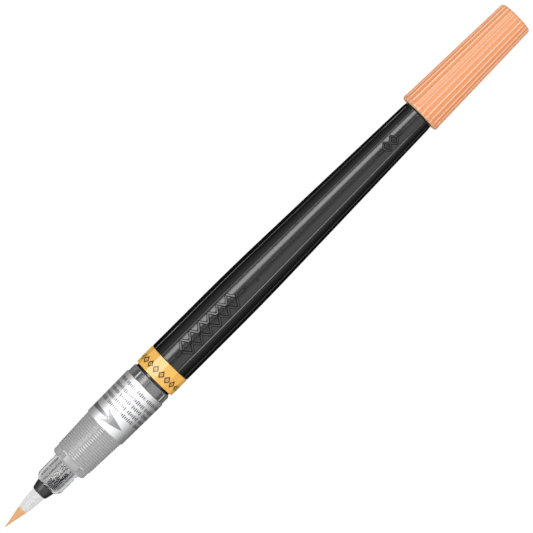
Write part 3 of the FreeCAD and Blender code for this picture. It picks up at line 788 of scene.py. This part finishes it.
def make_slot_glints():
    """A pale block at the rear of each collar slot and a thin pale ring that ends the collar: painted
    highlights for the clear plastic's glints.
    """
    steps = []
    for k, angle in enumerate(WEB_ANGLES):
        step = box(f"slot_glint_{k}", (0.34 * MM, 1.66 * MM, 0.66 * MM), 0.1 * MM)
        steps.append(on_surface(step, GRIP - 0.2 * MM, 4.62 * MM, angle))
    outline = [(COLLAR - 0.06 * MM, 3.82), (COLLAR - 0.06 * MM, 4.16), (COLLAR + 0.02 * MM, 4.26),
               (COLLAR + 0.12 * MM, 4.26), (COLLAR + 0.12 * MM, 3.82)]
    steps.append(lathe("collar_glint_rim", 96, [(x, r * MM) for x, r in outline], angle=35.0))
    dressed(joined("slot_glints", steps), SLOT_GLINT_PALE, "section", "clear_plastic")


def make_socket_rim():
    """The bare rear of the section's socket, with the lugs that show in its wall."""
    outline = [(LABEL_REAR, 5.42), (LABEL_REAR, 5.77), (SECTION_REAR - 0.5 * MM, 5.7),
               (SECTION_REAR - 0.15 * MM, 5.68), (SECTION_REAR, 5.56), (SECTION_REAR, 5.42)]
    rim = lathe("socket_rim", 128, [(x, r * MM) for x, r in outline], angle=35.0)
    dressed(rim, RIM_CLEAR, "section", "clear_plastic")
    lugs = []
    start = LABEL_REAR + 0.15 * MM
    length = SECTION_REAR - start - 0.3 * MM
    for turn in range(4):
        for angle, width in ((-30.0, 0.6), (0.0, 0.3), (45.0, 1.1)):
            lug = box(f"socket_lug_{turn}_{width}", (length, width * MM, 0.16 * MM), 0.03 * MM)
            lugs.append(on_surface(lug, start + length / 2, 5.68 * MM, angle + 90 * turn))
    dressed(joined("socket_lugs", lugs), LUG_GREY, "section", "clear_plastic")
    edges = []
    for turn in range(4):
        for angle in (-36.0, 53.5):
            edge = box(f"socket_edge_{turn}_{angle:.0f}", (length, 0.28 * MM, 0.16 * MM), 0.03 * MM)
            edges.append(on_surface(edge, start + length / 2, 5.68 * MM, angle + 90 * turn))
    dressed(joined("socket_edges", edges), FEED_WHITE, "section", "clear_plastic")


# ---------------------------------------------------------------- band

PANELS = 12
FINE_SIDES = 360
FACET_TURN = 1.5


def make_band():
    """A twelve-sided ring whose corners line up with the barrel's ribs."""
    half = FINE_SIDES // PANELS // 2
    corner = math.radians(360 / PANELS / 2)
    radius = 5.94
    relief = []
    for steps in range(half + 1):
        from_middle = corner * (half - steps) / half
        relief.append((steps, radius * (math.cos(corner) / math.cos(from_middle) - 1) * MM))
    inner = 5.36
    front_face = BAND + 0.3 * MM
    outline = [(front_face, inner), (front_face, radius - 0.1, 0.85),
               (front_face + 0.04 * MM, radius - 0.03, 0.95), (front_face + 0.12 * MM, radius, 1.0),
               (SHOULDER - 0.14 * MM, radius, 1.0),
               (SHOULDER - 0.05 * MM, radius - 0.04, 0.95), (SHOULDER, radius - 0.14, 0.8), (SHOULDER, inner)]
    ring = lathe("band_ring", FINE_SIDES, [(x, r * MM, *rest) for x, r, *rest in outline], relief, PANELS,
                 FACET_TURN, angle=25.0)
    dressed(ring, BAND_YELLOW, "transit_band", "band", "transit_band")


# ---------------------------------------------------------------- barrel

BARREL_RADIUS = 5.79
TAIL_RADIUS = 4.13
TAPER_START = SHOULDER + 26.2 * MM
TAPER_BLEND = 9.0 * MM
TAPER_SLOPE = (BARREL_RADIUS - TAIL_RADIUS) * MM / (CAP - TAPER_START)
THREAD_LEAD = 2.0 * MM
THREAD_TURNS = 4
RIB_RELIEF = ((0, 0.11 * MM), (1, 0.11 * MM), (2, 0.0), (3, -0.02 * MM))


def barrel_radius(x):
    """The barrel's panels: straight, then a soft bend into a long cone."""
    if x < TAPER_START - TAPER_BLEND:
        return BARREL_RADIUS * MM
    if x > TAPER_START + TAPER_BLEND:
        return BARREL_RADIUS * MM - TAPER_SLOPE * (x - TAPER_START)
    run = x - TAPER_START + TAPER_BLEND
    return BARREL_RADIUS * MM - TAPER_SLOPE * run * run / (4 * TAPER_BLEND)


def make_barrel():
    ring_front = BAND - 0.3 * MM
    inside = 4.6 * MM
    start = TAIL_PLUG - 1.5 * MM
    outline = [(start, 3.0 * MM), (CAP, 3.0 * MM), (TAPER_START, inside), (SHOULDER, inside),
               (ring_front, 3.2 * MM), (NECK, 3.2 * MM), (NECK, 4.15 * MM), (NECK + 0.1 * MM, 4.25 * MM),
               (ring_front, 4.25 * MM), (ring_front, 5.25 * MM), (ring_front + 0.05 * MM, 5.3 * MM),
               (SHOULDER + 0.03 * MM, 5.3 * MM), (SHOULDER + 0.03 * MM, 5.6 * MM),
               (SHOULDER + 0.08 * MM, 5.72 * MM, 0.6), (SHOULDER + 0.2 * MM, 5.79 * MM, 1.0)]
    for share in (0.5, 1.0):
        x = SHOULDER + share * (TAPER_START - TAPER_BLEND - SHOULDER)
        outline.append((x, barrel_radius(x), 1.0))
    for k in range(1, 9):
        x = TAPER_START - TAPER_BLEND + 2 * TAPER_BLEND * k / 8
        outline.append((x, barrel_radius(x), 1.0))
    ribs_end = CAP - 0.75 * MM
    for k in range(1, 7):
        x = TAPER_START + TAPER_BLEND + (ribs_end - TAPER_START - TAPER_BLEND) * k / 6
        outline.append((x, barrel_radius(x), 1.0 - 0.25 * k / 6))
    outline += [(CAP - 0.4 * MM, barrel_radius(CAP), 0.2), (CAP + 0.1 * MM, barrel_radius(CAP) - 0.02 * MM),
                (CAP + 0.28 * MM, barrel_radius(CAP) - 0.1 * MM), (CAP + 0.28 * MM, 3.95 * MM),
                (TAIL_PLUG - 0.3 * MM, 3.95 * MM), (TAIL_PLUG, 3.65 * MM), (TAIL_PLUG, 0)]
    shell = lathe("barrel_shell", FINE_SIDES, outline, RIB_RELIEF, PANELS, FACET_TURN, capped=True,
                  angle=33.0)
    thread_rear = NECK + 1.0 * MM + THREAD_TURNS * THREAD_LEAD
    thread = make_thread("neck_thread", thread_rear, 4.2 * MM, 4.68 * MM, THREAD_TURNS)
    piece = joined("barrel_bottle", [shell, thread])
    dressed(piece, BARREL_BLACK, "barrel", "barrel", "barrel")


def make_thread(name, start, root, crest, turns):
    """A left-hand thread: one small profile screwed from its rear end towards the brush."""
    deselect()
    bpy.ops.mesh.primitive_plane_add(size=1)
    piece = bpy.context.object
    piece.name = piece.data.name = name
    piece.scale = (0.7 * MM, abs(crest - root), 1)
    piece.rotation_euler = (QUARTER, 0, 0)
    piece.location = (start, 0, AXIS + (root + crest) / 2)
    settle(piece)
    start_edit()
    choose(piece, lambda v: abs(v.co.z - AXIS - crest) < 0.01 * MM)
    bpy.ops.transform.resize(value=(0.57, 1, 1), center_override=(start, 0, AXIS + crest))
    bpy.ops.mesh.select_all(action="SELECT")
    bpy.ops.mesh.delete(type="ONLY_FACE")
    settle(piece)
    piece.data.transform(Matrix.Translation((0, 0, -AXIS)))
    applied(piece, "SCREW", axis="X", angle=math.tau, screw_offset=-THREAD_LEAD, iterations=turns, steps=48,
            render_steps=48, use_merge_vertices=False)
    piece.data.transform(Matrix.Translation((0, 0, AXIS)))
    start_edit()
    bpy.ops.mesh.select_all(action="DESELECT")
    bpy.ops.mesh.select_non_manifold()
    bpy.ops.mesh.fill()
    bpy.ops.mesh.select_all(action="SELECT")
    bpy.ops.mesh.normals_make_consistent(inside=False)
    return settle(piece, 30.0)


STROKE_HEIGHT = 0.21 * MM
LINE_ANGLE = 1.5
FOOT_SHADE_SPREAD = 0.24
FOOT_SHADES = []


def stroke(name, length, width, x, degrees, yaw=0.0):
    """A raised flat-topped stroke on the barrel, and a thin matte black plate round its foot that paints
    shade there.
    """
    bar = box(name, (length * MM, width * MM, 2 * STROKE_HEIGHT), 0.07 * MM)
    # Painted shade: a thin matte black plate, a little larger than the stroke, laid round its foot.
    foot_shade_size = ((length + FOOT_SHADE_SPREAD) * MM, (width + FOOT_SHADE_SPREAD) * MM, 0.2 * MM)
    foot_shade = box(name + "_margin", foot_shade_size, 0.02 * MM)
    FOOT_SHADES.append(on_surface(foot_shade, x, barrel_radius(x) - 0.05 * MM, degrees, yaw))
    return on_surface(bar, x, barrel_radius(x), degrees, yaw)


def loop(name, across, along, thick):
    """A small raised oval ring, flat at the origin."""
    deselect()
    bpy.ops.mesh.primitive_circle_add(vertices=32, radius=across, fill_type="NOTHING")
    piece = bpy.context.object
    piece.name = piece.data.name = name
    start_edit()
    bpy.ops.mesh.select_all(action="SELECT")
    for grow, lift in ((0.0, STROKE_HEIGHT), (thick, 0.0), (0.0, -STROKE_HEIGHT)):
        bpy.ops.mesh.extrude_region_move(TRANSFORM_OT_translate={"value": (0, 0, lift)})
        ratio = (across + grow) / across
        bpy.ops.transform.resize(value=(ratio, ratio, 1), center_override=(0, 0, 0))
    bpy.ops.mesh.select_all(action="SELECT")
    bpy.ops.mesh.normals_make_consistent(inside=False)
    piece.scale = (along / across, 1, 1)
    settle(piece, 40.0)
    return applied(piece, "BEVEL", width=0.05 * MM, segments=2)


def make_ornaments():
    """A raised lattice on the barrel, where the real one carries raised lettering."""
    pieces = []
    for k in range(6):
        x = SHOULDER + (5.9 + 3.1 * k) * MM
        ring = loop(f"lattice_loop_{k}", 0.42 * MM, 0.5 * MM, 0.3 * MM)
        pieces.append(on_surface(ring, x, barrel_radius(x), LINE_ANGLE))
        for side in (-1, 1):
            for reach, yaw in ((13.0, 56.0), (12.0, -50.0)):
                shift = 0.78 * MM if yaw > 0 else -0.78 * MM
                name = f"lattice_{k}_{side + 1}_{reach:.0f}"
                pieces.append(stroke(name, 2.35, 0.5, x + shift, side * reach + LINE_ANGLE, side * yaw))
    for k, (along, length) in enumerate(((3.2, 1.5), (24.6, 2.0))):
        pieces.append(stroke(f"lattice_dash_{k}", length, 0.5, SHOULDER + along * MM, LINE_ANGLE))
    x = SHOULDER + 75.7 * MM
    for k, middle in enumerate((-1.15, 1.15)):
        for side in (-1, 1):
            for lean in (-1, 1):
                shift = (middle + 0.56 * lean) * MM
                name = f"tail_{k}_{side + 1}_{lean + 1}"
                angle = 8.5 * side + LINE_ANGLE
                pieces.append(stroke(name, 1.65, 0.38, x + shift, angle, 50.0 * side * lean))
    for k, (shift, length) in enumerate(((-3.4, 1.4), (3.2, 0.8))):
        pieces.append(stroke(f"tail_dash_{k}", length, 0.4, x + shift * MM, LINE_ANGLE))
    for k, (along, angle) in enumerate(((29.5, 8.6), (26.2, 1.5), (79.1, 1.5))):
        pieces.append(stroke(f"pip_{k}", 0.36, 0.36, SHOULDER + along * MM, angle))
    dressed(joined("barrel_ornament", pieces), BARREL_BLACK, "barrel", "barrel")
    # The plates that paint shade round the strokes' feet.
    dressed(joined("ornament_foot_shades", FOOT_SHADES), FOOT_SHADE_BLACK, "barrel", "barrel")


# ---------------------------------------------------------------- tail cap

CAP_SIDES = CAP_RIBS * 8
CAP_GROOVES = ((0, -0.2 * MM), (1, -0.2 * MM), (2, -0.19 * MM), (3, -0.12 * MM))


def make_cap():
    rim, end = 5.64, 4.7
    mouth = CAP + 0.3 * MM
    lip = CAP + 1.35 * MM
    slope = (rim - end) / (END - CAP)
    seat = TAIL_PLUG + 0.05 * MM
    outline = [(END - 1.2 * MM, 3.6), (seat, 3.6), (seat, 4.0), (mouth, 4.0)]
    for k in range(0, 6):
        angle = QUARTER * k / 5
        outline.append((mouth + 0.5 * MM * (1 - math.cos(angle)), rim - 0.5 + 0.48 * math.sin(angle)))
    outline += [(lip, rim - slope * (lip - CAP)), (lip + 0.12 * MM, rim - slope * (lip - CAP), 0.9),
                (lip + 0.25 * MM, rim - slope * (lip - CAP), 1.0)]
    ribs_end = END - 0.7 * MM
    for k in range(1, 5):
        x = lip + (ribs_end - lip) * k / 4
        outline.append((x, rim - slope * (x - CAP), 1.0))
    for k in range(1, 6):
        angle = QUARTER * k / 5
        x = ribs_end + 0.7 * MM * math.sin(angle)
        outline.append((x, end - 0.7 + 0.7 * math.cos(angle), 1.0 - 0.12 * k))
    outline.append((END, end - 1.4))
    outline.append((END, 0))
    profile = [(x, r * MM, *rest) for x, r, *rest in outline]
    shell = lathe("cap_shell", CAP_SIDES, profile, CAP_GROOVES, CAP_RIBS, CAP_TURN, capped=True, angle=50.0)
    dressed(shell, CAP_ORANGE, "barrel", "tail_cap", "tail_cap")


# ---------------------------------------------------------------- camera, floor and light

VIEW_TURN = -44.92
CAMERA_HEIGHT = 0.7817
FIELD = 9.5


def make_camera():
    lens = bpy.data.cameras.new("camera")
    lens.sensor_width = 36.0
    lens.lens = lens.sensor_width / 2 / math.tan(math.radians(FIELD / 2))
    camera = bpy.data.objects.new("camera", lens)
    camera.location = (0.00198, -0.000036, AXIS + CAMERA_HEIGHT)
    camera.rotation_euler = (0, 0, math.radians(VIEW_TURN))
    bpy.context.collection.objects.link(camera)
    bpy.context.scene.camera = camera
    bpy.context.scene.view_settings.view_transform = "Standard"


def make_floor():
    deselect()
    bpy.ops.mesh.primitive_plane_add(size=3.0)
    floor = bpy.context.object
    floor.name = "floor"
    made, n, shader = new_material("floor_white", Roughness=0.9, Specular_IOR_Level=0.0)
    shader.inputs["Base Color"].default_value = (0, 0, 0, 1)
    where = n.add("ShaderNodeTexCoord").outputs["Object"]
    paper = n.blend(n.noise(where, 60.0), (1.0, 1.0, 1.0, 1), (1.01, 1.01, 1.01, 1))
    n.link(paper, shader.inputs["Emission Color"])
    shader.inputs["Emission Strength"].default_value = 1.0
    floor.data.materials.append(made)
    floor.visible_glossy = False


def soft_light(name, power, size, place, seen):
    """A rectangular soft light aimed at the middle of the pen.

    It is either seen in gloss only, or lights the dull surfaces only.
    """
    data = bpy.data.lights.new(name, "AREA")
    data.shape = "RECTANGLE"
    data.size, data.size_y = size
    data.energy = power
    lamp = bpy.data.objects.new(name, data)
    lamp.location = place
    aim = Vector((0, 0, AXIS)) - Vector(place)
    lamp.rotation_euler = aim.to_track_quat("-Z", "Y").to_euler()
    lamp.visible_glossy = seen
    lamp.visible_diffuse = not seen
    bpy.context.collection.objects.link(lamp)


def make_lights():
    soft_light("key", 4.4, (1.0, 0.2), (0.0, 0.288, 0.495), True)
    soft_light("side", 0.95, (1.0, 0.5), (0.0, -0.40, 0.45), True)
    soft_light("overhead", 2.6, (1.0, 1.0), (0.0, 0.1, 0.95), False)
    world = bpy.data.worlds.new("studio")
    world.use_nodes = True
    n = Nodes(world.node_tree)
    back = world.node_tree.nodes["Background"]
    height = n.add("ShaderNodeSeparateXYZ")
    n.link(n.add("ShaderNodeTexCoord").outputs["Generated"], height.inputs[0])
    dome = n.step(height.outputs["Z"], 0.3, 1.4)
    sky = n.blend(dome, (0, 0, 0, 1), (1, 1, 1, 1))
    path = n.add("ShaderNodeLightPath")
    n.link(n.blend(path.outputs["Is Camera Ray"], sky, (1, 1, 1, 1)), back.inputs["Color"])
    bpy.context.scene.world = world


make_camera()
make_floor()
make_lights()
make_tuft()
make_ferrule()
make_nose()
make_grip()
make_band()
make_barrel()
make_ornaments()
make_cap()

for node, material in (("section_label", LABEL_FILM), ("ink_pipe", FEED_WHITE), ("feed_core", FEED_WHITE),
                       ("relay_felt", FELT), ("piercing_spigot", FEED_WHITE), ("neck_bush", BUSH_WHITE),
                       ("seal_ball", BALL_STEEL)):
    recoloured(node, material)
